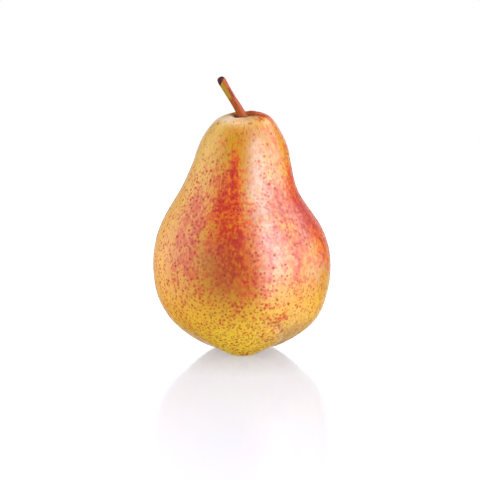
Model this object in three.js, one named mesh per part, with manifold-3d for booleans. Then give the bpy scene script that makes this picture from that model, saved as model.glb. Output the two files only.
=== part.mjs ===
// A blushed dessert pear standing on its base, in millimetres, +Z up.
// Three pieces: the fruit, the stalk it hung by, and the dried calyx in the basin underneath.
// The origin is on the surface it stands on, under the middle of the fruit. -Y is its front.

import * as THREE from "three";
import { mergeVertices } from "three/addons/utils/BufferGeometryUtils.js";
import Module from "manifold-3d";

const wasm = await Module();
wasm.setup();

const { degToRad, radToDeg, euclideanModulo, smoothstep } = THREE.MathUtils;

// Driving dimensions.
const fruitHeight = 90.2; // surface to the top of the crown's rim
const bellyRadius = 33.6;
const gap = 0.3; // kept between two pieces that meet

// The crown: a low rim round a dimple, with the stalk's socket at its bottom.
const rimRadius = 4.5;
// How the crown stands above or below its mean level: [waves round it, angle of a crest, height].
const rimTilt = 0.7; // higher at the back right, and lower at the front left
const rimWaves = [
  [1, 45, rimTilt],
  [3, -10, 0.2],
];
const dimpleDepth = 3.4;
const rootRadius = 1.6; // of the stalk inside the fruit
const rootDepth = 3;
const socketMouth = fruitHeight - dimpleDepth;
const crownStart = 80; // height from which the rim's waves and the folds come in
const foldBreadth = 2.2;
const folds = [ // fleshy folds that stand up in the dimple, beside the stalk and behind it
  { angle: 48, width: 46, radius: 5.2, rise: 0.65 },
  { angle: 158, width: 55, radius: 4.4, rise: 0.4 },
];

// The base: lobes round a basin, with the calyx's socket at its top.
const footRadius = 10.6; // from the middle to the lobes' lowest points
const basinDepth = 6;
const calyxRootRadius = 1.7;
const calyxRootDepth = 1.2;
const pressedFlat = 0.6; // how much of each lobe's tip the fruit's weight presses flat

// One lobe under each of the five seed chambers. Three of them reach the surface and the fruit
// stands on those; drop is how far each comes down from the level of the furrows between them.
const furrowRise = 3.6;
const lobes = [
  { angle: -94, width: 45, drop: 3.6 },
  { angle: -10, width: 30, drop: 1.5 },
  { angle: 54, width: 29, drop: 3.6 },
  { angle: 127, width: 29, drop: 3.6 },
  { angle: -168, width: 30, drop: 1.7 },
];
const lobeReach = 17; // height up to which they are drawn down
const lobeSwell = 0.05; // share of the radius by which they stand out beside the base
const swellReach = 34;

// How the belly and the neck depart from round: [waves round it, angle of a crest, share of the radius].
const bellyHeight = 34;
const bellyBreadth = 22;
const bellyWaves = [
  [2, 35, 0.008],
  [5, -94, 0.005],
];
const neckHeight = 74;
const neckBreadth = 14;
const neckWaves = [
  [2, 70, 0.012],
  [3, 20, 0.009],
];

// How far the middle of the fruit stands to +X of the origin, level by level.
const crownOffset = 0.45; // all of it from 82 up
const crownOffsetFrom = [66, 82];
const waistOffset = -1.3;
const waistHeight = 58;
const waistBreadth = 11;
const baseOffset = 0.8; // all of it from 6 down
const baseOffsetFrom = [6, 26];

// The stalk, from its root's end to the scar where it broke from the spur.
const stalkTop = 103.6;
const stalkLean = [ // how far its middle stands from the socket's, at heights above the socket's mouth
  [0, 0, 0],
  [-0.45, 0, 2.2],
  [-2.35, -0.4, 6],
  [-5.4, -1.4, 11.2],
  [-8.4, -2.2, stalkTop - socketMouth],
];
const stalkRadius = 1.45;
const collarRadius = 2.1; // where it widens into the dimple
const knobRadius = 1.7; // the corky swelling at the scar
const stalkTwist = 70; // degrees that its ridges turn from root to scar
const stalkWaves = [
  [3, 0, 0.07],
  [2, -30, 0.05],
];

// The calyx: sepals and stamens dried round a small cup.
const sepalCount = 5;
const sepalLength = 4.4;
const sepalWidth = 2.5;
const sepalThickness = 0.7;
const sepalTip = 0.3;
const sepalDroop = 1.5;
const sepalCup = 0.35; // how far a sepal's edges hang below its midrib
const sepalRoot = 1; // how far from the middle it starts
const sepalLevel = 1.5; // how far below the basin's top it starts
const sepalUnevenness = { droop: 0.35, turn: 6 }; // millimetres and degrees by which they differ
const stamenCount = 9;
const stamenRadius = 0.3;
const stamenLength = 2.2;
const stamenRing = 0.95; // how far from the middle the stamens stand
const stamenLean = 0.28; // radians, outward
const stamenUnevenness = 0.1; // radians by which their lean differs

const fruitSides = 64;
const outlineSteps = 2; // rows of faces to each point of the outline
const stalkSides = 16;
const cupSides = 20;
const stamenSides = 5;
const samePoint = 1e-4; // points closer than this are one

const material = (color, roughness) => new THREE.MeshStandardMaterial({ color, roughness, metalness: 0 });
const skin = material(0xdd8f48, 0.36);
const bark = material(0xa8592c, 0.6);
const driedLeaf = material(0x4a3424, 0.85);

// 1 at no distance, 1/e at one width.
const bell = (distance, width) => Math.exp(-((distance / width) ** 2));

const turnBetween = (a, b) => euclideanModulo(a - b + 180, 360) - 180;

const waved = (waves, angle) =>
  waves
    .map(([count, crest, size]) => size * Math.cos(degToRad(count * (angle - crest))))
    .reduce((total, height) => total + height);

// Moves every point of a geometry by a function of it, and makes one of the points that faces share.
function reshaped(geometry, move) {
  const position = geometry.getAttribute("position");
  const point = new THREE.Vector3();
  for (let i = 0; i < position.count; i += 1) {
    position.setXYZ(i, ...move(point.fromBufferAttribute(position, i)).toArray());
  }
  geometry.deleteAttribute("normal");
  geometry.deleteAttribute("uv");
  return mergeVertices(geometry, samePoint);
}

// A profile of [radius, height] pairs turned round +Z. It starts at the bottom and ends at the top.
function turned(profile, sides) {
  return new THREE.LatheGeometry(profile, sides).rotateX(Math.PI / 2);
}

// Half the round fruit's section, from the stalk's socket over the crown and down to the calyx's socket.
function fruitOutline() {
  const top = fruitHeight - rimTilt;
  const outline = new THREE.Path();
  outline.moveTo(0, socketMouth - rootDepth);
  outline.lineTo(rootRadius + gap, socketMouth - rootDepth);
  outline.lineTo(rootRadius + gap, socketMouth);
  outline.splineThru(
    [
      [2.8, socketMouth + 1.4], // dimple
      [rimRadius, top],
      [7.2, top - 0.25],
      [9.9, top - 1.2],
      [12.8, top - 4.4],
      [16.6, top - 10.8], // neck
      [19.3, top - 19.8],
      [22.4, top - 28.8], // waist
      [27.2, top - 36.3],
      [31.3, top - 43.9],
      [33.1, top - 50.8],
      [bellyRadius, top - 56.8],
      [32.7, 23.6],
      [30.0, 15.8],
      [25.6, 9.2],
      [20.4, 4.3],
      [15.2, 1.1],
      [footRadius, -pressedFlat],
      [8.2, 0.6],
      [6.6, 3],
      [4.6, basinDepth - 0.8],
      [calyxRootRadius + gap, basinDepth], // basin
    ].map(([radius, height]) => new THREE.Vector2(radius, height)),
  );
  outline.lineTo(calyxRootRadius + gap, basinDepth + calyxRootDepth);
  outline.lineTo(0, basinDepth + calyxRootDepth);
  return outline.getPoints(outlineSteps).reverse();
}

// How far the lobes come down at an angle. Where two of them meet the furrow is rounded.
function dropAt(angle) {
  const sharpness = 4;
  const sum = lobes.reduce(
    (total, lobe) => total + (lobe.drop * bell(turnBetween(angle, lobe.angle), lobe.width)) ** sharpness,
    0,
  );
  return sum ** (1 / sharpness);
}

function offsetAt(height) {
  return (
    crownOffset * smoothstep(height, ...crownOffsetFrom) +
    waistOffset * bell(height - waistHeight, waistBreadth) +
    baseOffset * (1 - smoothstep(height, ...baseOffsetFrom))
  );
}

function foldAt(angle, radius) {
  return folds.reduce((total, fold) => {
    const share = bell(turnBetween(angle, fold.angle), fold.width) * bell(radius - fold.radius, foldBreadth);
    return total + fold.rise * share;
  }, 0);
}

// A point of the round fruit, moved to where the grown one has it. The two sockets stay round.
function grown(point) {
  const radius = Math.hypot(point.x, point.y);
  const angle = radToDeg(Math.atan2(point.y, point.x));
  const clearOfRoot = smoothstep(radius, rootRadius + gap + 0.2, rimRadius - 0.5);
  const clearOfSockets = smoothstep(radius, calyxRootRadius + gap + 0.5, rimRadius + 2.5);
  const drop = dropAt(angle);
  const swell =
    lobeSwell * (1 - smoothstep(point.z, basinDepth - 2, swellReach)) * (drop / furrowRise - 0.6) +
    bell(point.z - bellyHeight, bellyBreadth) * waved(bellyWaves, angle) +
    bell(point.z - neckHeight, neckBreadth) * waved(neckWaves, angle);
  const share = 1 + clearOfSockets * swell;
  const rise = (1 - smoothstep(point.z, 1, lobeReach)) * (furrowRise - drop);
  const crown = smoothstep(point.z, crownStart, fruitHeight);
  const lift =
    clearOfSockets * (rise + crown * waved(rimWaves, angle)) + clearOfRoot * crown * foldAt(angle, radius);
  return new THREE.Vector3(
    point.x * share + offsetAt(point.z),
    point.y * share,
    Math.max(0, point.z + lift),
  );
}

// The stalk is turned straight, then given its ridges and bent along its curve.
function stalkGeometry() {
  const curve = new THREE.CatmullRomCurve3(
    [[0, 0, gap - rootDepth], ...stalkLean].map(
      ([x, y, z]) => new THREE.Vector3(crownOffset + x, y, socketMouth + z),
    ),
  );
  const length = curve.getLength();
  const profile = new THREE.Path();
  profile.moveTo(0, 0);
  profile.lineTo(rootRadius, 0);
  profile.lineTo(rootRadius, rootDepth - gap);
  profile.splineThru(
    [
      [collarRadius, rootDepth + 0.9],
      [collarRadius * 0.97, rootDepth + 2],
      [stalkRadius * 1.25, rootDepth + 3.8],
      [stalkRadius * 1.04, rootDepth + 6.5],
      [stalkRadius, rootDepth + 10],
      [stalkRadius * 1.08, length - 3.2],
      [knobRadius, length - 1.3],
      [knobRadius * 0.86, length - 0.35],
      [knobRadius * 0.5, length],
    ].map(([radius, along]) => new THREE.Vector2(radius, along)),
  );
  profile.lineTo(0, length - 0.25);
  return reshaped(turned(profile.getPoints(2), stalkSides), (point) => {
    const along = THREE.MathUtils.clamp(point.z / length, 0, 1);
    const around = Math.atan2(point.y, point.x) - degToRad(stalkTwist) * along;
    const ridged = smoothstep(point.z, rootDepth, rootDepth + 2.5);
    const share = 1 + ridged * waved(stalkWaves, radToDeg(around));
    const ahead = curve.getTangentAt(along);
    const side = new THREE.Vector3(0, 1, 0).cross(ahead).normalize();
    const front = ahead.clone().cross(side);
    return curve
      .getPointAt(along)
      .addScaledVector(side, point.x * share)
      .addScaledVector(front, point.y * share);
  });
}

function solidOf(geometry) {
  return new wasm.Manifold(
    new wasm.Mesh({
      numProp: 3,
      vertProperties: geometry.getAttribute("position").array,
      triVerts: Uint32Array.from(geometry.index.array),
    }),
  );
}

function geometryOf(solid) {
  const mesh = solid.getMesh();
  return new THREE.BufferGeometry()
    .setAttribute("position", new THREE.BufferAttribute(mesh.vertProperties, 3))
    .setIndex(new THREE.BufferAttribute(mesh.triVerts, 1));
}

// One dried sepal, pointing along +X: a pointed blade that cups downwards and curls at its tip.
function sepal(index) {
  const outline = new THREE.Shape();
  const half = sepalWidth / 2;
  outline.moveTo(0, -half * 0.8);
  outline.quadraticCurveTo(sepalLength * 0.5, -half * 1.3, sepalLength, -sepalTip / 2);
  outline.lineTo(sepalLength, sepalTip / 2);
  outline.quadraticCurveTo(sepalLength * 0.5, half * 1.3, 0, half * 0.8);
  outline.closePath();
  const blade = new THREE.ExtrudeGeometry(outline, {
    depth: sepalThickness,
    bevelEnabled: false,
    curveSegments: 6,
  });
  const droop = sepalDroop + sepalUnevenness.droop * Math.sin(2.3 * index);
  const turn = degToRad((360 / sepalCount) * index + sepalUnevenness.turn * Math.sin(1.7 * index));
  return reshaped(blade, (point) => {
    const out = point.x / sepalLength;
    const cup = sepalCup * (point.y / half) ** 2;
    return new THREE.Vector3(
      sepalRoot + point.x * (1 - 0.12 * out),
      point.y,
      basinDepth - sepalLevel + point.z - droop * out ** 2 - cup * out,
    ).applyAxisAngle(new THREE.Vector3(0, 0, 1), turn);
  });
}

// One dried stamen: a thin stub that leans out of the cup.
function stamen(index) {
  const stub = new THREE.CylinderGeometry(stamenRadius, stamenRadius * 1.15, stamenLength, stamenSides);
  stub.rotateX(-Math.PI / 2);
  const turn = degToRad((360 / stamenCount) * index + 20);
  const lean = stamenLean + stamenUnevenness * Math.sin(2.9 * index);
  return reshaped(stub, (point) =>
    point
      .clone()
      .add(new THREE.Vector3(0, 0, -stamenLength / 2 + 0.3))
      .applyAxisAngle(new THREE.Vector3(0, 1, 0), lean)
      .add(new THREE.Vector3(stamenRing, 0, basinDepth - 1.2))
      .applyAxisAngle(new THREE.Vector3(0, 0, 1), turn),
  );
}

function calyxGeometry() {
  const top = basinDepth + calyxRootDepth - gap;
  const cup = [
    [0, basinDepth - 1.1],
    [0.7, basinDepth - 1.2],
    [1.5, basinDepth - 1.7],
    [2, basinDepth - 1.2],
    [calyxRootRadius, basinDepth - 0.4],
    [calyxRootRadius, top],
    [0, top],
  ].map(([radius, height]) => new THREE.Vector2(radius, height));
  let solid = solidOf(reshaped(turned(cup, cupSides), (point) => point));
  for (let i = 0; i < sepalCount; i += 1) {
    solid = solid.add(solidOf(sepal(i)));
  }
  for (let i = 0; i < stamenCount; i += 1) {
    solid = solid.add(solidOf(stamen(i)));
  }
  return geometryOf(solid).translate(baseOffset, 0, 0);
}

function piece(name, geometry, finish) {
  const mesh = new THREE.Mesh(geometry, finish);
  mesh.name = name;
  return mesh;
}

const pear = new THREE.Group();
pear.add(
  piece("fruit", reshaped(turned(fruitOutline(), fruitSides), grown), skin),
  piece("stalk", stalkGeometry(), bark),
  piece("calyx", calyxGeometry(), driedLeaf),
);

export default pear;
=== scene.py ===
import math

import bmesh
import bpy
import numpy as np
from mathutils import Matrix, Vector, noise


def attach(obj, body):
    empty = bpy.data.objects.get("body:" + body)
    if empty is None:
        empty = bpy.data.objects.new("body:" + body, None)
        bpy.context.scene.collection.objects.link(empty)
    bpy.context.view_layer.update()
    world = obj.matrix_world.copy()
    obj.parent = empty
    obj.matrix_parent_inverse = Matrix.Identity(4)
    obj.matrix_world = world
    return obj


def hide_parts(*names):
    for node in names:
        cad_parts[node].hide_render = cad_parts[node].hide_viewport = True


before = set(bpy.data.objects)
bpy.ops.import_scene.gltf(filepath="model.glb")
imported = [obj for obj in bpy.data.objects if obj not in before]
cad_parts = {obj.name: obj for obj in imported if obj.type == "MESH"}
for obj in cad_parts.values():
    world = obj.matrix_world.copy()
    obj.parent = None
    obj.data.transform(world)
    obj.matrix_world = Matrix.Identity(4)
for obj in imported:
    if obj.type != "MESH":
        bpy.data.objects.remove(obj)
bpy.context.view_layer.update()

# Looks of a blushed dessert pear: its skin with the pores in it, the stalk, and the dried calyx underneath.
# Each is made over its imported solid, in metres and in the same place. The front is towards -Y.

mm = 0.001
scene = bpy.context.scene


def linear(hexText):  # an sRGB hex colour, as shaders take it
    channels = [int(hexText[i:i + 2], 16) / 255 for i in (0, 2, 4)]
    return [c / 12.92 if c <= 0.04045 else ((c + 0.055) / 1.055) ** 2.4 for c in channels] + [1.0]


def addNode(tree, kind, inputs=None, **settings):  # an input takes a value, a socket or a node
    node = tree.nodes.new(kind)
    for name, value in settings.items():
        setattr(node, name, value)
    for name, value in (inputs or {}).items():
        if isinstance(value, bpy.types.Node):
            value = value.outputs[0]
        if isinstance(value, bpy.types.NodeSocket):
            tree.links.new(value, node.inputs[name])
        else:
            node.inputs[name].default_value = value
    return node


def newObject(name, data):
    item = bpy.data.objects.new(name, data)
    scene.collection.objects.link(item)
    return item


def newMaterial(name):
    material = bpy.data.materials.new(name)
    material.use_nodes = True
    return material, material.node_tree, material.node_tree.nodes["Principled BSDF"]


def showPiece(name, mesh, material=None):
    mesh.name = name
    piece = newObject(name, mesh)
    if material:
        mesh.materials.clear()
        mesh.materials.append(material)
    for face in mesh.polygons:
        face.use_smooth = True
    return piece


def coordinates(mesh):  # every vertex in millimetres
    flat = np.empty(len(mesh.vertices) * 3, np.float32)
    mesh.vertices.foreach_get("co", flat)
    return flat.reshape(-1, 3).astype(float) / mm


def moveTo(mesh, points):
    mesh.vertices.foreach_set("co", (points * mm).astype(np.float32).ravel())
    mesh.update()


def storeField(mesh, name, values):
    kind = "FLOAT_VECTOR" if values.ndim == 2 else "FLOAT"
    field = mesh.attributes.get(name) or mesh.attributes.new(name, kind, "POINT")
    field.data.foreach_set("vector" if values.ndim == 2 else "value", values.astype(np.float32).ravel())


def readField(mesh, name):
    values = np.empty(len(mesh.vertices), np.float32)
    mesh.attributes[name].data.foreach_get("value", values)
    return values.astype(float)


def bell(distance, width):  # 1 at no distance, 1/e at one width
    return np.exp(-((distance / width) ** 2))


def step(value, low, high):
    t = np.clip((value - low) / (high - low), 0, 1)
    return t * t * (3 - 2 * t)


def reachOf(points):  # how far each is from the upright line through the middle
    return np.hypot(points[:, 0], points[:, 1])


def azimuthOf(points):  # degrees round from the front, to the right
    return np.degrees(np.arctan2(points[:, 0], -points[:, 1]))


def turnBetween(a, b):
    return (a - b + 180) % 360 - 180


def noiseAt(points, size, seed):  # smooth noise from about -1 to 1 at points in millimetres
    shift = Vector((31.7, 11.3, 5.9)) * seed  # far enough that two seeds have nothing in common
    return np.array([noise.noise(Vector(p) / size + shift) for p in points])


def meshFrom(piece):  # the evaluated piece as a plain mesh, and the piece itself gone
    bpy.context.view_layer.update()
    shown = piece.evaluated_get(bpy.context.evaluated_depsgraph_get())
    mesh = bpy.data.meshes.new_from_object(shown)
    bpy.data.objects.remove(piece)
    return mesh


def newTree(name, **sockets):
    tree = bpy.data.node_groups.new(name, "GeometryNodeTree")
    tree.interface.new_socket("Geometry", in_out="OUTPUT", socket_type="NodeSocketGeometry")
    tree.interface.new_socket("Geometry", in_out="INPUT", socket_type="NodeSocketGeometry")
    for label, kind in sockets.items():
        tree.interface.new_socket(label, in_out="INPUT", socket_type="NodeSocket" + kind)
    return tree, tree.nodes.new("NodeGroupInput").outputs


def endTree(tree, geometry, material):  # one real mesh with its finish
    real = addNode(tree, "GeometryNodeRealizeInstances", {"Geometry": geometry})
    finished = addNode(tree, "GeometryNodeSetMaterial", {"Geometry": real, "Material": material})
    addNode(tree, "NodeGroupOutput", {"Geometry": finished})
    return tree


def nodesOn(source, tree, **values):  # runs a geometry tree on a piece, its inputs set by their identifiers
    modifier = source.modifiers.new("shape", "NODES")
    modifier.node_group = tree
    for item in tree.interface.items_tree:
        if item.in_out == "INPUT" and item.name in values:
            modifier[item.identifier] = values[item.name]
    return meshFrom(source)


# The skin. Lengths are in mm and turns in degrees round from the front, to the right. A pair is a soft
# edge, from where it starts to where it ends: out from the middle line, or up where it says so.
skin = {
    "levels": 2,  # each halves the solid's faces once more
    "unevenness": 0.28,  # how deep the shallow hollows between swellings are
    "hollowSize": 13,
    "hollowDetail": (2.3, 0.5),  # a second noise's size goes into that this many times, and its share
    "side": (7, 14),  # where the hollows begin
    "creases": 9,  # running down into the dimple round the stalk
    "creaseSwing": 1.5,  # radians of their wave by which they aren't evenly round
    "creaseDepth": 0.28,
    "creaseStart": (2, 3.2),
    "creaseEnd": (5.5, 9),
    "creaseBottom": (84, 87.5),  # up
    "foldAt": -26,  # the deepest fold at the stalk's foot
    "foldWidth": 22,
    "foldDepth": 1.7,
    "foldEnd": (3, 6.5),
    "foldBottom": (84, 87),  # up
    "valleyAt": 52,  # the foot of the valley beside the front lobe
    "valleyFoot": 5,  # up
    "valleyLean": 3.0,  # nearer the front for each mm up
    "valleyWidth": 6,
    "valleyDepth": 0.85,
    "valleyBottom": (1, 4),  # up
    "valleyTop": (8, 21),  # up
    "valleyHighlightWidth": 2.2,  # of the painted highlight along the valley
    "valleyHighlightShare": 0.5,
    "dimple": (3.5, 6.5),
    "dimpleBottom": (70, 80),  # up
    # painted shade: the dimple dark in a ring round the stalk's foot, out to these reaches
    "socket": (2.6, 4.6),
    "basin": (5, 9),
    "basinTop": (10, 20),  # up
    "dimpleCork": 0.85,  # how brown with cork the dimple is, but for the stalk's socket in it
    "corkStart": (2.4, 4.4),
    "basinCork": 0.5,

    # There are fewer pores higher up: the heights between which they thin out, and the share that goes.
    "fewerPores": [(12, 40, 0.45), (70, 84, 0.35)],
    "fewerPoresAt": (62, 38, 0.15),  # and round here: turn, spread and share
    "fewestPores": 0.15,  # the least share that stays
    "porelessReach": 9,  # there are none this near the middle line
    "porelessAbove": 86,  # over this height
    "porelessBelow": 8,  # or under this one,
    "porelessFoot": 1.2,  # and none anywhere below this

    # The grain is drawn on a cylinder, so that it has no seam, and runs from pole to pole.
    "grainGirth": 30,
    "grainMiddle": 40,  # up
    "grainLength": 42,  # for each radian from pole to pole

    # Patterns: how fast each changes along the fruit next to across it, or 0 if it is the same every
    # way; its size; and its weight in breaking up the red.
    "patterns": {
        "fineStreak": (0.25, 0.95, 0.9),
        "broadStreak": (0.25, 3.6, 1.3),
        "fleck": (0.5, 0.95, 0),
        "mottle": (0, 1.2, 1.3),
        "cloud": (0, 2.4, 1.5),
        "blotch": (0, 5.0, 1.8),
        "drift": (0, 11.0, 0.7),
    },
    "weakRed": 0.56,  # how far the patterns break up the red where there is hardly any
    "strongRed": 0.36,  # and how much further where there is most
    "ringRed": 0.3,  # how much redder it is in the ring round a pore

    # Colours that the red deepens through, each from one redness to another.
    "reds": [
        (0.1, 0.55, "C45406"),
        (0.5, 1.0, "B42608"),
        (0.82, 1.25, "A60612"),
    ],
    # Pale and dark flecks in the grain: the noise where they start and are full, how strong, and colour.
    "flecks": [
        (0.5, 0.68, 0.4, "C48010"),
        (0.5, 0.32, 0.6, "962A02"),
    ],
    "freckleSpacing": 1.7,
    "freckleEdge": (0.32, 0.12),  # shares of the spacing, from the outside in
    "freckleColour": "B85C08",
    "corkColour": "823402",
    # pale pink of the wax bloom, partly a painted sheen
    "waxSheenColour": "B08C80",
    "waxCloud": (0.72, 0.32),  # the noise where its patches start and are full
    # colour of the painted shade round the stalk's foot
    "socketShadeColour": "2A0E06",
    # colour of the painted highlight along the valley
    "valleyHighlightColour": "F0C8A0",
    "poreOnYellow": "A84A02",
    "poreOnRed": "8E2802",
    "poreTurns": (0.1, 0.7),  # the redness between which a pore takes the second colour
    "poreUnderBloomSheen": 0.5,  # how much of a pore shows where the wax and its painted sheen are thickest
    "roughness": 0.36,
    "roughnessSwing": 0.2,  # from cloud to cloud
    "mattRoughness": 0.3,  # how much rougher pores and cork are
    "coat": (1.45, -1.2),  # the wax coat's weight where there is no cloud, and what a full one adds
    "coatRoughness": 0.27,
    "relief": 0.09,  # of the finest unevenness, which breaks up what it mirrors
    "swellingSize": 1.9,
    "mottleRelief": 0.35,  # the mottle's share in that, next to the swellings

    # Where the sun and the air reached: turn, height, how far it spreads either way, and how red it is.
    "blush": [
        (12, 47, 44, 17, 0.45),
        (-9, 66, 7, 9, 1.0),
        (-8, 75, 5, 5, 0.2),
        (-17, 59, 11, 6, 0.8),
        (-2, 53, 12, 9, 0.55),
        (-10, 42, 12, 9, 0.55),
        (2, 42, 13, 8, 0.35),
        (7, 32, 12, 6, 0.4),
        (-36, 56, 14, 9, 0.4),
        (-44, 50, 10, 16, 0.35),
        (-34, 38, 8, 10, 0.25),
        (-24, 69, 10, 6, 0.35),
        (18, 43, 3.5, 7, 0.6),
        (27, 48, 4, 7, 0.7),
        (38, 38, 4, 8, 0.7),
        (30, 63, 10, 6, 0.6),
        (48, 60, 14, 7, 0.5),
        (46, 53, 12, 8, 0.45),
        (36, 57, 4, 8, 0.5),
        (68, 55, 20, 12, 1.25),
        (80, 68, 12, 8, 0.2),
        (84, 38, 22, 12, 0.35),
        (27, 16, 5, 7, 0.32),
        (60, 82, 36, 10, 0.25),
        (118, 52, 32, 22, 0.5),
        (95, 91.5, 70, 3.2, 0.9),
        (70, 86, 26, 8, 0.25),
    ],
    # The ground colour under the red, in the same terms, and the colour it turns to there. The last two are
    # painted highlights, pale rims on the crown left of the stalk.
    "groundColour": "C69404",
    "groundsAndRimHighlights": [
        (0, 4, 150, 17, 0.95, "E8C406"),
        (-72, 18, 40, 12, 0.7, "E8B20A"),
        (-75, 40, 30, 34, 0.95, "EAA408"),
        (-44, 46, 18, 22, 0.85, "C87A2C"),
        (-62, 82, 40, 14, 0.85, "CEA40C"),
        (-130, 60, 45, 34, 0.8, "B4981A"),
        (150, 40, 50, 40, 0.45, "B4981A"),
        (8, 82, 44, 11, 0.9, "A87004"),
        (-20, 72, 14, 10, 0.6, "B88014"),
        (4, 70, 9, 18, 0.7, "B67C28"),
        (18, 72, 8, 14, 0.7, "A06404"),
        (-6, 41, 24, 16, 0.9, "A86004"),
        (40, 34, 30, 14, 0.6, "AC6A04"),
        (85, 78, 34, 14, 0.5, "B4701A"),
        (50, 12, 34, 12, 0.7, "DEAC40"),
        (-30, 89, 90, 3, 0.5, "D8B040"),
        # painted highlights on the crown's rim, left of the stalk
        (-30, 90.2, 80, 2.0, 0.95, "F4DCAC"),
        (-40, 89.6, 40, 2.0, 0.8, "FFF2DE"),
    ],
    # Where the wax is thick enough to cloud the colour under it, and in the same patches a painted pale
    # sheen where the lights shine on the right front, in the same terms.
    "bloomed": [
        (16, 67, 10, 13, 0.9),
        (20, 55, 10, 8, 0.8),
        (22, 42, 8, 12, 0.6),
        (42, 72, 14, 12, 0.55),
        (40, 57, 12, 6, 0.15),
        (50, 47, 9, 9, 0.3),
        (58, 34, 14, 6, 0.4),
        (40, 13, 22, 7, 0.4),
        (-34, 56, 9, 6, 0.15),
    ],
    # Where the skin is brown with cork, and where freckles are thick.
    "corky": [
        (-9, 37, 17, 13, 0.55),
    ],
    "freckled": [
        (0, 8, 180, 20, 0.9),
        (-55, 34, 40, 22, 0.7),
        (0, 45, 180, 30, 0.35),
    ],
}


def spread(points, patches):  # what soft patches add up to: at most 1, unless a share is over 1
    azimuth = azimuthOf(points)
    left = np.ones(len(points))
    for at, height, wide, tall, share in patches:
        left *= 1 - share * bell(turnBetween(azimuth, at), wide) * bell(points[:, 2] - height, tall)
    return 1 - left


def inValley(points, wide):  # 1 along the valley beside the front lobe, fading out to either side
    line = skin["valleyAt"] - skin["valleyLean"] * (points[:, 2] - skin["valleyFoot"])
    tall = step(points[:, 2], *skin["valleyBottom"]) * (1 - step(points[:, 2], *skin["valleyTop"]))
    return bell(turnBetween(azimuthOf(points), line), wide) * tall


def paintFields(mesh):  # what the skin's colours are worked out from, at every vertex
    points = coordinates(mesh)
    reach = reachOf(points)
    around = points[:, :2] / np.maximum(reach, 1e-3)[:, None] * skin["grainGirth"]
    down = np.arctan2(reach, points[:, 2] - skin["grainMiddle"]) * skin["grainLength"]
    storeField(mesh, "grain", np.column_stack([around, down]))
    for name in ("blush", "freckled", "bloomed"):
        storeField(mesh, name, spread(points, skin[name]))
    upInDimple = step(points[:, 2], *skin["dimpleBottom"])
    inDimple = (1 - step(reach, *skin["dimple"])) * upInDimple
    inBasin = (1 - step(reach, *skin["basin"])) * (1 - step(points[:, 2], *skin["basinTop"]))
    cork = skin["dimpleCork"] * inDimple * step(reach, *skin["corkStart"]) + skin["basinCork"] * inBasin
    storeField(mesh, "corky", spread(points, skin["corky"]) + cork)
    storeField(mesh, "dull", np.clip(cork + inDimple, 0, 1))

    colour = np.tile(linear(skin["groundColour"])[:3], (len(points), 1))
    layers = [(spread(points, [patch[:5]]), patch[5]) for patch in skin["groundsAndRimHighlights"]]
    # a painted highlight along the valley
    layers.append((skin["valleyHighlightShare"] * inValley(points, skin["valleyHighlightWidth"]), skin["valleyHighlightColour"]))
    # painted shade in the crevice round the stalk's foot
    layers.append(((1 - step(reach, *skin["socket"])) * upInDimple, skin["socketShadeColour"]))
    for share, tint in layers:
        colour = colour * (1 - share[:, None]) + share[:, None] * linear(tint)[:3]
    # the skin's ground colour, with the painted highlights and the painted shade round the stalk laid into
    # it
    storeField(mesh, "ground", colour)


def skinMesh():
    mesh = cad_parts["fruit"].data.copy()
    joined = bmesh.new()
    joined.from_mesh(mesh)
    bmesh.ops.remove_doubles(joined, verts=joined.verts, dist=0.001 * mm)
    bmesh.ops.join_triangles(
        joined, faces=joined.faces, angle_face_threshold=math.pi, angle_shape_threshold=math.pi)
    joined.to_mesh(mesh)
    joined.free()
    rough = newObject("rough", mesh)
    halved = rough.modifiers.new("halved", "SUBSURF")
    halved.levels = halved.render_levels = skin["levels"]
    return meshFrom(rough)


def shapeSkin(mesh):  # hollows, creases, the fold and the valley, all inwards, and where pores may come
    points = coordinates(mesh)
    reach = reachOf(points)
    bearing = np.arctan2(points[:, 1], points[:, 0])
    outward = points / np.maximum(reach, 1e-3)[:, None] * [1, 1, 0]

    size, highest = skin["hollowSize"], 0.6  # what the two noises together hardly ever pass
    finer, share = skin["hollowDetail"]
    hollow = noiseAt(points, size, 1) + share * noiseAt(points, size / finer, 2) - highest
    depth = step(reach, *skin["side"]) * skin["unevenness"] * hollow / (1 + highest)
    points += outward * depth[:, None]

    crown = step(points[:, 2], *skin["creaseBottom"])
    crown *= step(reach, *skin["creaseStart"]) * (1 - step(reach, *skin["creaseEnd"]))
    wave = np.cos(skin["creases"] * bearing + skin["creaseSwing"] * np.sin(2 * bearing))
    points[:, 2] -= crown * skin["creaseDepth"] * (0.5 + 0.5 * wave) ** 3  # narrower than what is between

    azimuth = azimuthOf(points)
    fold = bell(turnBetween(azimuth, skin["foldAt"]), skin["foldWidth"])
    fold *= (1 - step(reach, *skin["foldEnd"])) * step(points[:, 2], *skin["foldBottom"])
    points[:, 2] -= fold * skin["foldDepth"]
    points -= outward * (inValley(points, skin["valleyWidth"]) * skin["valleyDepth"])[:, None]
    moveTo(mesh, points)

    gone = 0
    for low, high, share in skin["fewerPores"]:
        gone = gone + share * step(points[:, 2], low, high)
    at, wide, share = skin["fewerPoresAt"]
    gone = gone + share * bell(turnBetween(azimuth, at), wide)
    height = points[:, 2]
    poreless = (height > skin["porelessAbove"]) | (height < skin["porelessBelow"])
    poreless = poreless & (reach < skin["porelessReach"]) | (height < skin["porelessFoot"])
    storeField(mesh, "poreShare", np.where(poreless, 0, 1 - np.clip(gone, 0, 1 - skin["fewestPores"])))


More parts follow.
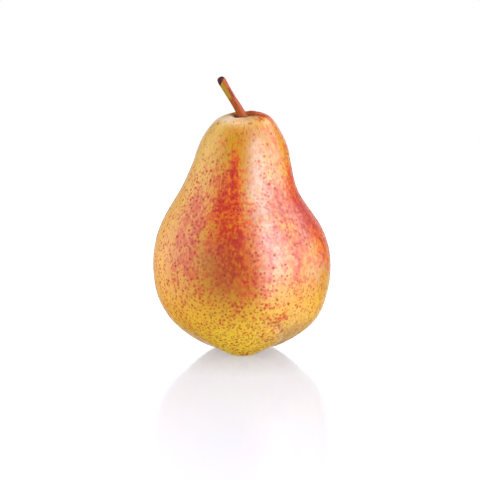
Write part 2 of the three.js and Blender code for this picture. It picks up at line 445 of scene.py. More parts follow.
def skinPatterns(tree, grain, place):  # the patterns by name, and their weighted sum, about 0 on the whole
    shown = {}
    breaks = -sum(weight for _, _, weight in skin["patterns"].values()) / 2
    for name, (stretch, size, weight) in skin["patterns"].items():
        vector = place
        if stretch:
            vector = addNode(tree, "ShaderNodeVectorMath", {0: grain, 1: (1, 1, stretch)},
                             operation="MULTIPLY")
        shown[name] = addNode(tree, "ShaderNodeTexNoise", {
            "Vector": vector, "Scale": 1 / size, "Detail": 3.0, "Roughness": 0.6})
        if weight:
            breaks = addNode(tree, "ShaderNodeMath", {0: shown[name], 1: weight, 2: breaks},
                             operation="MULTIPLY_ADD")
    return shown, breaks


def skinRedness(tree, field, breaks):  # the blush, broken into streaks and specks where it is weak
    reach = addNode(tree, "ShaderNodeMath", {
        0: field["blush"], 1: skin["strongRed"], 2: skin["weakRed"]}, operation="MULTIPLY_ADD")
    broken = addNode(tree, "ShaderNodeMath", {
        0: breaks, 1: reach, 2: field["blush"]}, operation="MULTIPLY_ADD")
    return addNode(tree, "ShaderNodeMath", {
        0: field["ring"], 1: skin["ringRed"], 2: broken}, operation="MULTIPLY_ADD")


def poresShown(tree, field):  # each pore has its own strength, and is half hidden where the wax and its painted sheen are thick
    bare = addNode(tree, "ShaderNodeMapRange", {"Value": field["bloomed"], 3: 1.0, 4: skin["poreUnderBloomSheen"]})
    own = addNode(tree, "ShaderNodeMath", {0: field["poreStrength"], 1: bare}, operation="MULTIPLY")
    return addNode(tree, "ShaderNodeMath", {0: field["pore"], 1: own}, operation="MULTIPLY")


def frecklesShown(tree, field, place):  # round spots, each of its own strength
    cells = addNode(tree, "ShaderNodeTexVoronoi", {"Vector": place, "Scale": 1 / skin["freckleSpacing"]})
    outer, inner = skin["freckleEdge"]
    spot = addNode(tree, "ShaderNodeMapRange", {"Value": cells.outputs["Distance"], 1: outer, 2: inner},
                   interpolation_type="SMOOTHSTEP")
    own = addNode(tree, "ShaderNodeMath", {0: spot, 1: cells.outputs["Color"]}, operation="MULTIPLY")
    return addNode(tree, "ShaderNodeMath", {0: own, 1: field["freckled"]}, operation="MULTIPLY")


def skinLayers(tree, field, shown, redness, pore, place):
    layers = []  # from the ground up: how far each shows, and its colour
    for low, high, tint in skin["reds"]:
        share = addNode(tree, "ShaderNodeMapRange", {"Value": redness, 1: low, 2: high},
                        interpolation_type="SMOOTHSTEP")
        layers.append((share, linear(tint)))
    layers.append((field["corky"], linear(skin["corkColour"])))
    for low, high, most, tint in skin["flecks"]:
        share = addNode(tree, "ShaderNodeMapRange", {"Value": shown["fleck"], 1: low, 2: high, 4: most},
                        interpolation_type="SMOOTHSTEP")
        layers.append((share, linear(tint)))
    layers.append((frecklesShown(tree, field, place), linear(skin["freckleColour"])))
    low, high = skin["poreTurns"]
    onRed = addNode(tree, "ShaderNodeMapRange", {"Value": redness, 1: low, 2: high})
    brown = addNode(tree, "ShaderNodeMix", {
        0: onRed, 6: linear(skin["poreOnYellow"]), 7: linear(skin["poreOnRed"])},
        data_type="RGBA")
    layers.append((pore, brown.outputs[2]))
    # the wax's pale colour: partly real bloom, partly painted sheen
    low, high = skin["waxCloud"]
    wax = addNode(tree, "ShaderNodeMapRange", {
        "Value": shown["cloud"], 1: low, 2: high, 4: field["bloomed"]})
    layers.append((wax, linear(skin["waxSheenColour"])))
    return layers


def waxySkin():  # pear skin under a thin wax bloom: satin, so lights spread wide and pale on it
    material, tree, shader = newMaterial("waxyPearSkin")
    field = {name: addNode(tree, "ShaderNodeAttribute", attribute_name=name).outputs["Fac"] for name in (
        "blush", "freckled", "bloomed", "corky", "dull", "pore", "ring", "poreStrength")}
    grain = addNode(tree, "ShaderNodeAttribute", attribute_name="grain").outputs["Vector"]
    place = addNode(tree, "ShaderNodeVectorMath", {
        0: addNode(tree, "ShaderNodeTexCoord").outputs["Object"], 1: (1 / mm, 1 / mm, 1 / mm)},
        operation="MULTIPLY")
    shown, breaks = skinPatterns(tree, grain, place)
    redness = skinRedness(tree, field, breaks)
    pore = poresShown(tree, field)
    colour = addNode(tree, "ShaderNodeAttribute", attribute_name="ground").outputs["Color"]
    for share, tint in skinLayers(tree, field, shown, redness, pore, place):
        colour = addNode(tree, "ShaderNodeMix", {0: share, 6: colour, 7: tint}, data_type="RGBA").outputs[2]
    tree.links.new(colour, shader.inputs["Base Color"])

    # cork and pores are matt, and have no wax on them
    least, swing = skin["roughness"] - skin["roughnessSwing"] / 2, skin["roughnessSwing"]
    gloss = addNode(tree, "ShaderNodeMath", {
        0: shown["cloud"], 1: swing, 2: least}, operation="MULTIPLY_ADD")
    most, perCloud = skin["coat"]
    wax = addNode(tree, "ShaderNodeMath", {
        0: shown["cloud"], 1: perCloud, 2: most}, operation="MULTIPLY_ADD")
    for bare in (pore, field["dull"]):
        gloss = addNode(tree, "ShaderNodeMath", {0: bare, 1: skin["mattRoughness"], 2: gloss},
                        operation="MULTIPLY_ADD")
        wax = addNode(tree, "ShaderNodeMath", {0: bare, 1: -1.0, 2: wax},
                      operation="MULTIPLY_ADD", use_clamp=True)
    tree.links.new(gloss.outputs[0], shader.inputs["Roughness"])
    tree.links.new(wax.outputs[0], shader.inputs["Coat Weight"])
    shader.inputs["IOR"].default_value = 1.45
    shader.inputs["Coat IOR"].default_value = 1.6
    shader.inputs["Coat Roughness"].default_value = skin["coatRoughness"]

    swellings = addNode(tree, "ShaderNodeTexNoise", {
        "Vector": place, "Scale": 1 / skin["swellingSize"], "Detail": 2.0})
    relief = addNode(tree, "ShaderNodeMath", {0: shown["mottle"], 1: skin["mottleRelief"], 2: swellings},
                     operation="MULTIPLY_ADD")
    bump = addNode(tree, "ShaderNodeBump", {
        "Strength": 1.0, "Distance": skin["relief"] * mm, "Height": relief})
    tree.links.new(bump.outputs[0], shader.inputs["Normal"])
    return material


skinFinish = waxySkin()
skinShape = skinMesh()
shapeSkin(skinShape)
paintFields(skinShape)
fruit = showPiece("fruit_skin", skinShape, skinFinish)
print("skin:", len(skinShape.polygons), "faces")

# The pores, which a pear's skin is dotted with.
pores = {
    "spacing": 1.25,  # mm, the least between two middles
    "density": 1.15,  # per square mm, before the spacing thins them
    "radius": 0.66,  # mm, of the reddened ring; the brown middle is just over half of it
    "rise": 0.05,  # mm
    "raggedness": 0.13,  # share of the radius by which the outline wavers
    "sides": 7,
    # Rings from the outside in: share of the radius, share of the rise, how brown and how red it is there.
    "rings": [(1.0, -0.35, 0, 0.2), (0.72, 0.3, 0.4, 1), (0.45, 0.75, 1, 0.4)],
    "smallest": 0.6,
    "largest": 1.2,
    "faintest": 0.55,  # how far the weakest one shows
    "seed": 7,  # of the places and sizes
    "turnSeed": 3,
    "strengthSeed": 11,
}


def poreMesh():  # one pore: a low corky dome, brown in the middle, in a redder ring that runs into the skin
    mesh = bpy.data.meshes.new("pore")
    shape = bmesh.new()
    sides, rise = pores["sides"], pores["rise"] * mm
    rows, marks = [], []
    for radius, height, brown, red in pores["rings"]:
        row = []
        for i in range(sides):
            turn = 2 * math.pi * i / sides
            r = radius * pores["radius"] * mm * (1 + pores["raggedness"] * math.sin(2.3 * i + 1))
            row.append(shape.verts.new((r * math.cos(turn), r * math.sin(turn), height * rise)))
            marks.append((brown, red))
        rows.append(row)
    middle = shape.verts.new((0, 0, rise))
    marks.append((1, 0))
    for outer, inner in zip(rows, rows[1:]):
        for i in range(sides):
            j = (i + 1) % sides
            shape.faces.new([outer[i], outer[j], inner[j], inner[i]])
    for i in range(sides):
        shape.faces.new([rows[-1][i], rows[-1][(i + 1) % sides], middle])
    shape.verts.index_update()
    shape.to_mesh(mesh)
    shape.free()
    storeField(mesh, "pore", np.array([brown for brown, _ in marks], float))
    storeField(mesh, "ring", np.array([red for _, red in marks], float))
    return mesh


def poreTree():
    tree, given = newTree(
        "scatterPores", Pore="Object", Spacing="Float", Density="Float", Smallest="Float", Largest="Float",
        Faintest="Float", Seed="Int", TurnSeed="Int", StrengthSeed="Int", Material="Material")
    share = addNode(tree, "GeometryNodeInputNamedAttribute", {"Name": "poreShare"}, data_type="FLOAT")
    points = addNode(tree, "GeometryNodeDistributePointsOnFaces", {
        "Mesh": given["Geometry"], "Distance Min": given["Spacing"], "Density Max": given["Density"],
        "Density Factor": share, "Seed": given["Seed"]}, distribute_method="POISSON")
    pore = addNode(tree, "GeometryNodeObjectInfo", {"Object": given["Pore"], "As Instance": True})
    size = addNode(tree, "FunctionNodeRandomValue", {
        2: given["Smallest"], 3: given["Largest"], "Seed": given["Seed"]}, data_type="FLOAT")
    placed = addNode(tree, "GeometryNodeInstanceOnPoints", {
        "Points": points.outputs["Points"], "Instance": pore.outputs["Geometry"],
        "Rotation": points.outputs["Rotation"], "Scale": size.outputs[1]})
    turn = addNode(tree, "FunctionNodeRandomValue", {
        1: (0, 0, 6.283), "Seed": given["TurnSeed"]}, data_type="FLOAT_VECTOR")
    turned = addNode(tree, "GeometryNodeRotateInstances", {"Instances": placed, "Rotation": turn})
    strength = addNode(tree, "FunctionNodeRandomValue", {
        2: given["Faintest"], 3: 1.0, "Seed": given["StrengthSeed"]}, data_type="FLOAT")
    stored = addNode(tree, "GeometryNodeStoreNamedAttribute", {
        "Geometry": turned, "Name": "poreStrength", "Value": strength.outputs[1]},
        data_type="FLOAT", domain="INSTANCE")
    return endTree(tree, stored, given["Material"])


onePore = showPiece("onePore", poreMesh())
poresShape = nodesOn(
    newObject("carrier", skinShape), poreTree(), Pore=onePore, Spacing=pores["spacing"] * mm,
    Density=pores["density"] / mm ** 2, Smallest=pores["smallest"], Largest=pores["largest"],
    Faintest=pores["faintest"], Seed=pores["seed"], TurnSeed=pores["turnSeed"],
    StrengthSeed=pores["strengthSeed"], Material=skinFinish)
bpy.data.objects.remove(onePore)
paintFields(poresShape)
poreField = showPiece("pores", poresShape, skinFinish)
print("pores:", len(poresShape.polygons), "faces")

# The stalk, which leans to the left.
stalk = {
    "sides": 48,
    "rows": 150,
    "ridge": 0.08,  # share of the radius by which the ridges stand out
    "ridges": [(2, 0.6), (3, 1.0)],  # how many there are round it, and their share of that
    "twist": 1.2,  # radians that they turn from foot to tip
    "fibre": 0.045,  # mm, of the fine furrows along it
    "fibreNoise": 4.0,  # brings the noise that they are made of, a quarter either way, to 1
    "fibresRound": 3.4,  # the radius that it is wrapped on, in its own sizes,
    "fibresAlong": 5.0,  # and its length along the stalk
    # x, y, height and radius in mm, from inside the socket to the scar where it broke off
    "path": [
        (0.4, 0, 85.6, 1.6),
        (0.3, 0, 87.0, 2.0),
        (0.1, 0, 88.2, 2.0),
        (-0.2, 0, 89.4, 1.85),
        (-0.85, -0.12, 90.9, 1.6),
        (-1.95, -0.4, 92.9, 1.48),
        (-3.5, -0.85, 95.4, 1.42),
        (-5.1, -1.4, 98.1, 1.42),
        (-6.5, -1.8, 100.5, 1.5),
        (-7.4, -2.06, 102.1, 1.6),
        (-7.8, -2.16, 103.0, 1.45),
        (-8.0, -2.22, 103.55, 0.9),
        (-8.05, -2.24, 103.68, 0.3),
    ],
    "barkColour": "984808",
    # What lies over the bark, from the bottom up: its field, where that starts and is full, and its colour.
    "tints": [
        ("salmon", 0.2, 0.8, "9E4830"),
        ("green", 0.3, 0.7, "9C7A0C"),
        # painted shade along the grooves
        ("groove", 0.15, 0.6, "5C1814"),
        ("scar", 0.35, 0.6, "461820"),
    ],
    "blotchSize": 0.9,  # mm
    "blotchShare": 0.9,  # how far the blotches move the edges of the tints
    "upSide": (0.86, 0.0, 0.5),  # the way that the side away from the lean faces
    # How far it must face that way to be salmon, and to be green, the other way; and where along it
    # either changes, with the share of the salmon that goes there.
    "salmonFacing": (0.2, 0.9),
    "salmonEnd": (0.5, 0.8),
    "salmonLost": 0.6,
    "greenFacing": (-0.3, 0.25),
    "greenStart": (0.5, 0.66),
    "scarStart": (0.9, 0.94),
    "scarSlant": 0.06,  # how much further along the scar begins on the up side
    # Painted shade in the grooves, as dark lines: how far each faces that way, how far it spreads, the same
    # along it, and how dark.
    "grooveShades": [(0.5, 0.2, 0.66, 0.12, 1.0), (0.1, 0.16, 0.45, 0.14, 0.7)],
}


def pathObject(name, points):
    curve = bpy.data.curves.new(name, "CURVE")
    curve.dimensions = "3D"
    spline = curve.splines.new("BEZIER")
    spline.bezier_points.add(len(points) - 1)
    for knot, (x, y, z, radius) in zip(spline.bezier_points, points):
        knot.co = Vector((x, y, z)) * mm
        knot.radius = radius * mm
        knot.handle_left_type = knot.handle_right_type = "AUTO"
    return newObject(name, curve)


def stalkTree():
    tree, given = newTree(
        "turnStalk", Path="Object", Sides="Int", Rows="Int", Ridge="Float", Twist="Float", Fibre="Float",
        FibresRound="Float", FibresAlong="Float", Material="Material")
    path = addNode(tree, "GeometryNodeObjectInfo", {"Object": given["Path"]}).outputs["Geometry"]
    rows = addNode(tree, "GeometryNodeResampleCurve", {"Curve": path, "Count": given["Rows"]})
    circle = addNode(tree, "GeometryNodeCurvePrimitiveCircle", {"Resolution": given["Sides"], "Radius": 1.0})
    marked = {}
    for name, curve in (("along", rows), ("turn", circle)):  # how far along its curve each point is
        factor = addNode(tree, "GeometryNodeSplineParameter").outputs["Factor"]
        marked[name] = addNode(tree, "GeometryNodeStoreNamedAttribute", {
            "Geometry": curve, "Name": name, "Value": factor},
            data_type="FLOAT", domain="POINT")
    radius, along, share = [
        addNode(tree, "GeometryNodeInputNamedAttribute", {"Name": name}, data_type="FLOAT")
        for name in ("radius", "along", "turn")]
    body = addNode(tree, "GeometryNodeCurveToMesh", {
        "Curve": marked["along"], "Profile Curve": marked["turn"], "Scale": radius, "Fill Caps": True})

    # the turn round the stalk in radians, from a line that twists along it
    whole = addNode(tree, "ShaderNodeMath", {0: share, 1: 2 * math.pi}, operation="MULTIPLY")
    twisted = addNode(tree, "ShaderNodeMath", {0: along, 1: given["Twist"]}, operation="MULTIPLY")
    turn = addNode(tree, "ShaderNodeMath", {0: whole, 1: twisted}, operation="SUBTRACT")

    # ridges, as a share of the radius
    swell = 0.0
    for count, part in stalk["ridges"]:
        times = addNode(tree, "ShaderNodeMath", {0: turn, 1: float(count)}, operation="MULTIPLY")
        wave = addNode(tree, "ShaderNodeMath", {0: times}, operation="COSINE")
        swell = addNode(tree, "ShaderNodeMath", {0: wave, 1: part, 2: swell}, operation="MULTIPLY_ADD")
    for factor in (given["Ridge"], radius):
        swell = addNode(tree, "ShaderNodeMath", {0: swell, 1: factor}, operation="MULTIPLY")

    # furrows between fibres, in a noise that is wrapped round the stalk so that it has no seam
    wrapped = {"Z": addNode(tree, "ShaderNodeMath", {
        0: along, 1: given["FibresAlong"]}, operation="MULTIPLY")}
    for axis, operation in (("X", "COSINE"), ("Y", "SINE")):
        wave = addNode(tree, "ShaderNodeMath", {0: turn}, operation=operation)
        wrapped[axis] = addNode(tree, "ShaderNodeMath", {
            0: wave, 1: given["FibresRound"]}, operation="MULTIPLY")
    grain = addNode(tree, "ShaderNodeCombineXYZ", wrapped)
    furrow = addNode(tree, "ShaderNodeTexNoise", {"Vector": grain, "Scale": 1.0, "Detail": 3.0})
    eitherWay = addNode(tree, "ShaderNodeMath", {0: furrow, 1: 0.5}, operation="SUBTRACT")
    swell = addNode(tree, "ShaderNodeMath", {0: eitherWay, 1: given["Fibre"], 2: swell},
                    operation="MULTIPLY_ADD")

    offset = addNode(tree, "ShaderNodeVectorMath", {
        0: addNode(tree, "GeometryNodeInputNormal"), "Scale": swell}, operation="SCALE")
    shaped = addNode(tree, "GeometryNodeSetPosition", {"Geometry": body, "Offset": offset})
    return endTree(tree, shaped, given["Material"])


def paintStalk(mesh):  # how far each tint shows at every vertex
    points = coordinates(mesh)
    along = readField(mesh, "along")
    stations, near = np.linspace(0, 1, 60), 0.6 / stalk["rows"]  # each takes in the one or two rows near it
    middles = np.array([points[np.abs(along - station) < near].mean(axis=0) for station in stations])
    out = points - np.column_stack([np.interp(along, stations, middles[:, i]) for i in range(3)])
    out /= np.maximum(np.linalg.norm(out, axis=1), 1e-6)[:, None]
    facing = out @ np.array(stalk["upSide"])
    kept = 1 - stalk["salmonLost"] * step(along, *stalk["salmonEnd"])
    storeField(mesh, "salmon", step(facing, *stalk["salmonFacing"]) * kept)
    green = step(along, *stalk["greenStart"]) * step(-facing, *stalk["greenFacing"])
    storeField(mesh, "green", green)
    # painted shade in the grooves
    dark = 0
    for side, wide, place, tall, share in stalk["grooveShades"]:
        dark = dark + share * bell(facing - side, wide) * bell(along - place, tall)
    storeField(mesh, "groove", dark)
    storeField(mesh, "scar", step(along - stalk["scarSlant"] * facing, *stalk["scarStart"]))


def greenBark():  # young bark, half green and half reddened, smooth enough for a soft sheen
    material, tree, shader = newMaterial("satinPearStalk")
    place = addNode(tree, "ShaderNodeTexCoord").outputs["Object"]
    blotch = addNode(tree, "ShaderNodeTexNoise", {
        "Vector": place, "Scale": 1 / (stalk["blotchSize"] * mm), "Detail": 3.0})
    colour = linear(stalk["barkColour"])
    weight = stalk["blotchShare"]
    for name, low, high, tint in stalk["tints"]:
        share = addNode(tree, "ShaderNodeAttribute", attribute_name=name).outputs["Fac"]
        broken = addNode(tree, "ShaderNodeMath", {0: blotch, 1: weight, 2: share}, operation="MULTIPLY_ADD")
        shown = addNode(tree, "ShaderNodeMapRange", {
            "Value": broken, 1: low + weight / 2, 2: high + weight / 2},
            interpolation_type="SMOOTHSTEP")
        colour = addNode(tree, "ShaderNodeMix", {0: shown, 6: colour, 7: linear(tint)},
                         data_type="RGBA").outputs[2]
    tree.links.new(colour, shader.inputs["Base Color"])
    shader.inputs["Roughness"].default_value = 0.55
    shader.inputs["Specular IOR Level"].default_value = 0.35
    shader.inputs["IOR"].default_value = 1.45
    bump = addNode(tree, "ShaderNodeBump", {"Strength": 0.6, "Distance": 0.05 * mm, "Height": blotch})
    tree.links.new(bump.outputs[0], shader.inputs["Normal"])
    return material


bark = greenBark()
stalkCurve = pathObject("stalkPath", stalk["path"])
stalkShape = nodesOn(
    newObject("carrier", bpy.data.meshes.new("empty")), stalkTree(), Path=stalkCurve, Sides=stalk["sides"],
    Rows=stalk["rows"], Ridge=stalk["ridge"], Twist=stalk["twist"],
    Fibre=stalk["fibre"] * stalk["fibreNoise"] * mm, FibresRound=stalk["fibresRound"],
    FibresAlong=stalk["fibresAlong"], Material=bark)
bpy.data.objects.remove(stalkCurve)
paintStalk(stalkShape)
stem = showPiece("stalk_bark", stalkShape, bark)
print("stalk:", len(stalkShape.polygons), "faces")

# The calyx, which is what is left of the flower.
calyx = {
    "middle": (0.8, 0, 4.5),  # mm, where the sepals leave the cup
    "cupRadius": 2.0,
    "cupDepth": 2.2,
    "cupSides": 32,
    # Half the cup's section, outside and then inside: share of the radius, share of the depth, how pale.
    "cupSection": [
        (0.02, 0.45, 0), (0.45, 0.35, 0), (0.72, -0.1, 0.1), (0.86, -0.35, 0.3),
        (1.0, -0.1, 0.4), (0.95, 0.5, 0.2), (0.84, 1, 0.1), (0.02, 1, 0),
    ],
    "sepals": 5,
    "sepalRoot": 1.0,  # mm from the middle
    "sepalLength": 3.872,
    "sepalWidth": 2.5,
    "sepalOutline": (0.8, 2.6, 0.1),  # shares of that width at its root, in between and at its tip
    "sepalThickness": 0.3,
    "sepalThinning": (0.8, 0.5),  # shares of that which are gone at its edges and at its tip
    "droop": 1.5,  # mm that a sepal's tip hangs below its root
    "cupping": 0.5,  # mm that its edges hang below its midrib at the tip
    "ripple": 0.13,  # mm
    "ripples": (8, 3),  # radians of its wave, along the sepal and from midrib to edge
    "sepalSizes": (0.86, 1.02),
    "stamens": 15,
    "stamenLength": 2.3,
    "stamenRadius": 0.13,
    "stamenRing": 1.0,
    "stamenLean": 0.4,  # mm outwards for each mm down, at its end
    "stamenSides": 6,
    # Along a stamen: share of the length, share of the radius, how pale.
    "stamenSection": [
        (0, 1, 0), (0.35, 0.8, 0), (0.7, 0.7, 0.1), (0.8, 1.7, 0.7), (0.92, 1.9, 0.9), (1, 0.9, 1),
    ],
    "stamenSizes": (0.65, 1.1),
    "unevenness": 7,  # degrees by which each stands off its even place
    "darkColour": "20140E",
    "paleColour": "6B4C30",
    "seed": 5,
    "sizeSeed": 2,
}


def loft(name, rings, shades):  # a closed mesh through rings of points in mm, with a shade for each ring
    mesh = bpy.data.meshes.new(name)
    shape = bmesh.new()
    rows = [[shape.verts.new(Vector(point) * mm) for point in ring] for ring in rings]
    count = len(rows[0])
    for lower, upper in zip(rows, rows[1:]):
        for i in range(count):
            j = (i + 1) % count
            shape.faces.new([lower[i], lower[j], upper[j], upper[i]])
    shape.faces.new(rows[0][::-1])
    shape.faces.new(rows[-1])
    bmesh.ops.recalc_face_normals(shape, faces=shape.faces)
    shape.to_mesh(mesh)
    shape.free()
    storeField(mesh, "shade", np.repeat(np.array(shades, float), count))
    return mesh


def circleAt(x, z, radius, sides):  # points round an upright axis
    turns = np.arange(sides) / sides * 2 * math.pi
    return [(x + radius * math.cos(t), radius * math.sin(t), z) for t in turns]


def sepalMesh():  # a pointed blade along +X that cups downwards, curls and thins to its edges
    rows, across = 12, 7
    root, between, tip = calyx["sepalOutline"]
    edges, end = calyx["sepalThinning"]
    waves, slant = calyx["ripples"]
    rings = []
    for out in np.linspace(0, 1, rows):
        outline = root * (1 - out) ** 2 + between * out * (1 - out) + tip * out ** 2
        half = calyx["sepalWidth"] / 2 * outline
        ring = []
        for face in (1, -1):
            for side in np.linspace(-face, face, across)[: across - 1]:
                thick = calyx["sepalThickness"] / 2 * (1 - edges * side ** 2) * (1 - end * out)
                hang = calyx["droop"] * out ** 2 + calyx["cupping"] * out * side ** 2
                ripple = calyx["ripple"] * out * math.sin(waves * out + slant * side)
                ring.append((calyx["sepalRoot"] + calyx["sepalLength"] * out, half * side,
                             face * thick - hang + ripple))
        rings.append(ring)
    return loft("sepal", rings, np.linspace(0.1, 1, rows))


def stamenMesh():  # a dried thread that leans out of the cup, with a knob at its end
    rings = []
    for along, width, _ in calyx["stamenSection"]:
        down = calyx["stamenLength"] * along
        middle = calyx["stamenRing"] + calyx["stamenLean"] * down * along
        rings.append(circleAt(middle, 0.5 - down, calyx["stamenRadius"] * width, calyx["stamenSides"]))
    return loft("stamen", rings, [pale for _, _, pale in calyx["stamenSection"]])


def cupMesh():  # the hollow cup that they all stand in
    rings = [circleAt(0, height * calyx["cupDepth"], share * calyx["cupRadius"], calyx["cupSides"])
             for share, height, _ in calyx["cupSection"]]
    return loft("cup", rings, [pale for _, _, pale in calyx["cupSection"]])


def calyxTree():
    tree, given = newTree(
        "ringTheCalyx", Sepal="Object", Sepals="Int", SmallestSepal="Float", LargestSepal="Float",
        Stamen="Object", Stamens="Int", SmallestStamen="Float", LargestStamen="Float",
        Unevenness="Float", Middle="Vector", Seed="Int", SizeSeed="Int", Material="Material")
    together = addNode(tree, "GeometryNodeJoinGeometry", {0: given["Geometry"]})
    for part in ("Sepal", "Stamen"):
        number = given[part + "s"]
        places = addNode(tree, "GeometryNodePoints", {"Count": number})
        index = addNode(tree, "GeometryNodeInputIndex")
        even = addNode(tree, "ShaderNodeMath", {0: 2 * math.pi, 1: number}, operation="DIVIDE")
        off = addNode(tree, "FunctionNodeRandomValue", {
            2: -1.0, 3: 1.0, "Seed": given["Seed"]}, data_type="FLOAT")
        moved = addNode(tree, "ShaderNodeMath", {
            0: off.outputs[1], 1: given["Unevenness"]}, operation="MULTIPLY")
        turn = addNode(tree, "ShaderNodeMath", {0: index, 1: even, 2: moved}, operation="MULTIPLY_ADD")
        rotation = addNode(tree, "ShaderNodeCombineXYZ", {"Z": turn})
        shape = addNode(tree, "GeometryNodeObjectInfo", {"Object": given[part], "As Instance": True})
        size = addNode(tree, "FunctionNodeRandomValue", {
            2: given["Smallest" + part], 3: given["Largest" + part], "Seed": given["SizeSeed"]},
            data_type="FLOAT")
        placed = addNode(tree, "GeometryNodeInstanceOnPoints", {
            "Points": places, "Instance": shape.outputs["Geometry"],
            "Rotation": rotation, "Scale": size.outputs[1]})
        tree.links.new(placed.outputs[0], together.inputs[0])
    moved = addNode(tree, "GeometryNodeTransform", {"Geometry": together, "Translation": given["Middle"]})
    return endTree(tree, moved, given["Material"])


def driedCalyx():  # dead flower parts: near black where they leave the cup, dry and paler to the tips
    material, tree, shader = newMaterial("dryCalyxLeaf")
    place = addNode(tree, "ShaderNodeTexCoord").outputs["Object"]
    grain = addNode(tree, "ShaderNodeTexNoise", {"Vector": place, "Scale": 1 / (0.5 * mm), "Detail": 4.0})
    shade = addNode(tree, "ShaderNodeAttribute", attribute_name="shade")
    uneven = addNode(tree, "ShaderNodeMath", {
        0: grain, 1: 0.9, 2: shade.outputs["Fac"]}, operation="MULTIPLY_ADD")
    paler = addNode(tree, "ShaderNodeMapRange", {"Value": uneven, 1: 0.35, 2: 1.6},
                    interpolation_type="SMOOTHSTEP")
    colour = addNode(tree, "ShaderNodeMix", {
        0: paler, 6: linear(calyx["darkColour"]), 7: linear(calyx["paleColour"])}, data_type="RGBA")
    tree.links.new(colour.outputs[2], shader.inputs["Base Color"])
    shader.inputs["Roughness"].default_value = 0.85
    shader.inputs["IOR"].default_value = 1.45
    bump = addNode(tree, "ShaderNodeBump", {"Strength": 0.8, "Distance": 0.12 * mm, "Height": grain})
    tree.links.new(bump.outputs[0], shader.inputs["Normal"])
    return material


dryLeaf = driedCalyx()
oneSepal, oneStamen = showPiece("oneSepal", sepalMesh()), showPiece("oneStamen", stamenMesh())
calyxShape = nodesOn(
    showPiece("cup", cupMesh()), calyxTree(), Sepal=oneSepal, Sepals=calyx["sepals"],
    SmallestSepal=calyx["sepalSizes"][0], LargestSepal=calyx["sepalSizes"][1],
    Stamen=oneStamen, Stamens=calyx["stamens"],
    SmallestStamen=calyx["stamenSizes"][0], LargestStamen=calyx["stamenSizes"][1],
    Unevenness=math.radians(calyx["unevenness"]), Middle=Vector(calyx["middle"]) * mm,
    Seed=calyx["seed"], SizeSeed=calyx["sizeSeed"], Material=dryLeaf)
bpy.data.objects.remove(oneSepal)
bpy.data.objects.remove(oneStamen)
flowerRest = showPiece("dried_calyx", calyxShape, dryLeaf)
print("calyx:", len(calyxShape.polygons), "faces")

# The studio, in metres and degrees.
studio = {
    "aim": Vector((-0.75, 0, 42.1)) * mm,
    "elevation": 10,
    "distance": 0.8,
    "focalLength": 159.7,  # mm, on a sensor this many mm wide
    "sensorWidth": 36,
    "floorRadius": 0.55,
    "floorDrop": 0.02 * mm,  # so that the pear's feet don't lie in one plane with it
    "floorColour": "606368",
    "floorGlowColour": "F0F2FC",
    "floorGlow": 0.79,
    # A painted shadow that gathers under the pear, dimming the table's glow: from mm, to mm, and the share
    # of the glow at either.
    "floorPaintedShadow": [(8, 45, 0.56, 0.9), (45, 170, 1.0, 1.3)],
    "floorGlowOnPear": 1.15,  # the light that the pear gets from it, which is more than it shows
    "ambient": 0.1,  # the even light from all round,
    "ambientInGloss": 0.06,  # and how bright that is where it is mirrored
    "lampPower": 4.0,  # watts for a square metre of a panel at a brightness of 1
    # name, degrees round from the front to the right, distance and height, how far it is tipped down from
    # upright, width and height of the panel, the share of each that fades out towards either edge,
    # brightness in its middle, and whether it shows in gloss
    "lights": [
        ("frontPanel", 18, 1.0, 0.62, 0, 0.6, 1.0, 0.5, 0.5, 0.75, True),
        ("keyPanel", 50, 1.0, 0.5, 0, 1.4, 2.9, 0.5, 0.35, 4.3, True),
        ("sidePanel", 90, 1.0, 0.5, 0, 1.3, 2.9, 0.5, 0.35, 1.2, True),
        ("rightFill", 95, 1.3, 0.5, 0, 1.6, 2.0, 0.2, 0.2, 1.3, False),
        ("rearRightPanel", 125, 1.2, 1.0, 0, 1.2, 1.1, 0.4, 0.4, 1.8, True),
        ("leftPanel", -100, 1.1, 0.62, 0, 2.7, 3.16, 0.45, 0.35, 0.9, True),
        ("leftFill", -60, 1.3, 0.5, 0, 2.8, 1.4, 0.2, 0.2, 1.9, False),
        ("topPanel", 0, 0.05, 1.6, 90, 2.0, 1.2, 0.3, 0.3, 1.0, True),
        ("backPanel", 180, 1.4, 0.235, 0, 0.9, 0.47, 0.2, 0.2, 2.4, True),
        ("rimPanel", 180, 1.4, -0.1, 0, 2.6, 1.8, 0.35, 0.2, 0.5, True),
    ],
}


def makePanel(name, azimuth, distance, height, tip, width, tall, sideFade, endFade, brightness, inGloss):
    lamp = bpy.data.lights.new(name, "AREA")
    lamp.shape = "RECTANGLE"
    lamp.size, lamp.size_y = width, tall
    lamp.energy = brightness * studio["lampPower"] * width * tall
    lamp.use_nodes = True
    tree = lamp.node_tree
    place = addNode(tree, "ShaderNodeSeparateXYZ", {
        0: addNode(tree, "ShaderNodeNewGeometry").outputs["Parametric"]})
    strength = 1.0
    for axis, fade in enumerate((sideFade, endFade)):
        fromEdge = addNode(tree, "ShaderNodeMath", {0: place.outputs[axis], 1: 0.5}, operation="PINGPONG")
        share = addNode(tree, "ShaderNodeMapRange", {"Value": fromEdge, 2: fade},
                        interpolation_type="SMOOTHSTEP")
        strength = addNode(tree, "ShaderNodeMath", {0: strength, 1: share}, operation="MULTIPLY")
    tree.links.new(strength.outputs[0], tree.nodes["Emission"].inputs["Strength"])
    panel = newObject(name, lamp)
    turn = math.radians(azimuth)
    panel.location = (distance * math.sin(turn), -distance * math.cos(turn), height)
    panel.rotation_euler = (math.radians(90 - tip), 0, turn)
    panel.visible_glossy = inGloss
    return panel


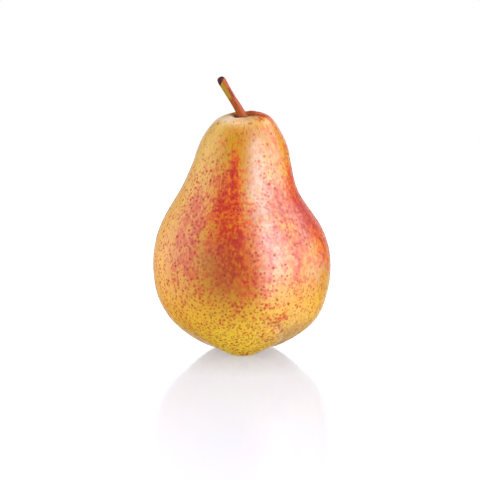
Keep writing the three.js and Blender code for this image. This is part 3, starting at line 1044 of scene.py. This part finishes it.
def makeLights(litOnly):  # with the pieces that a panel lights, where it doesn't light everything
    for row in studio["lights"]:
        panel = makePanel(*row)
        if panel.name in litOnly:
            pieces = bpy.data.collections.new(panel.name + "Only")
            for piece in litOnly[panel.name]:
                pieces.objects.link(piece)
            panel.light_linking.receiver_collection = pieces


def makeCamera():
    lens = bpy.data.cameras.new("camera")
    lens.lens, lens.sensor_width = studio["focalLength"], studio["sensorWidth"]
    lens.clip_start, lens.clip_end = 0.01, 20
    camera = newObject("camera", lens)
    rise = math.radians(studio["elevation"])
    away = Vector((0, -math.cos(rise), math.sin(rise))) * studio["distance"]
    camera.location = studio["aim"] + away
    camera.rotation_mode = "QUATERNION"
    camera.rotation_quaternion = (-away).to_track_quat("-Z", "Y")
    scene.camera = camera


def makeFloor():
    mesh = bpy.data.meshes.new("floor")
    shape = bmesh.new()
    bmesh.ops.create_circle(shape, cap_ends=True, segments=96, radius=studio["floorRadius"],
                            matrix=Matrix.Translation((0, 0, -studio["floorDrop"])))
    shape.to_mesh(mesh)
    shape.free()
    material, tree, shader = newMaterial("satinWhiteTable")
    shader.inputs["Base Color"].default_value = linear(studio["floorColour"])
    shader.inputs["Roughness"].default_value = 0.1
    shader.inputs["Specular IOR Level"].default_value = 0.12
    shader.inputs["Emission Color"].default_value = linear(studio["floorGlowColour"])
    away = addNode(tree, "ShaderNodeVectorMath", {
        0: addNode(tree, "ShaderNodeTexCoord").outputs["Object"]}, operation="LENGTH").outputs["Value"]
    glow = studio["floorGlow"]
    # the table's glow dims towards the pear: a painted shadow
    for near, far, low, high in studio["floorPaintedShadow"]:
        shade = addNode(tree, "ShaderNodeMapRange", {
            "Value": away, 1: near * mm, 2: far * mm, 3: low, 4: high})
        glow = addNode(tree, "ShaderNodeMath", {0: glow, 1: shade}, operation="MULTIPLY")
    seen = addNode(tree, "ShaderNodeLightPath").outputs["Is Camera Ray"]
    glow = addNode(tree, "ShaderNodeMapRange", {"Value": seen, 3: studio["floorGlowOnPear"], 4: glow})
    tree.links.new(glow.outputs[0], shader.inputs["Emission Strength"])
    floor = showPiece("floor", mesh, material)
    floor.visible_glossy = False  # it lights the pear from below, and leaves its gloss to the panels
    return floor


def makeWorld():  # plain white behind, and an even soft light from all round
    world = bpy.data.worlds.new("whiteRoom")
    scene.world = world
    world.use_nodes = True
    tree = world.node_tree
    ray = addNode(tree, "ShaderNodeLightPath").outputs
    room = addNode(tree, "ShaderNodeMapRange", {
        "Value": ray["Is Glossy Ray"], 3: studio["ambient"], 4: studio["ambientInGloss"]})
    strength = addNode(tree, "ShaderNodeMapRange", {"Value": ray["Is Camera Ray"], 3: room, 4: 1.0})
    shader = tree.nodes["Background"]
    shader.inputs["Color"].default_value = (1, 1, 1, 1)
    tree.links.new(strength.outputs[0], shader.inputs["Strength"])


# One panel is for what the table mirrors, and one brightens the pear's outline.
makeLights({"backPanel": [makeFloor()], "rimPanel": [fruit, poreField, stem]})
makeCamera()
makeWorld()
scene.view_settings.view_transform = "Standard"
print("studio:", len(studio["lights"]), "lights")

for piece, slot in ((fruit, "skin"), (poreField, "skin"), (stem, "stalk_bark"), (flowerRest, "dried_calyx")):
    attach(piece, "root")
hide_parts("fruit")
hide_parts("stalk")
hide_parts("calyx")
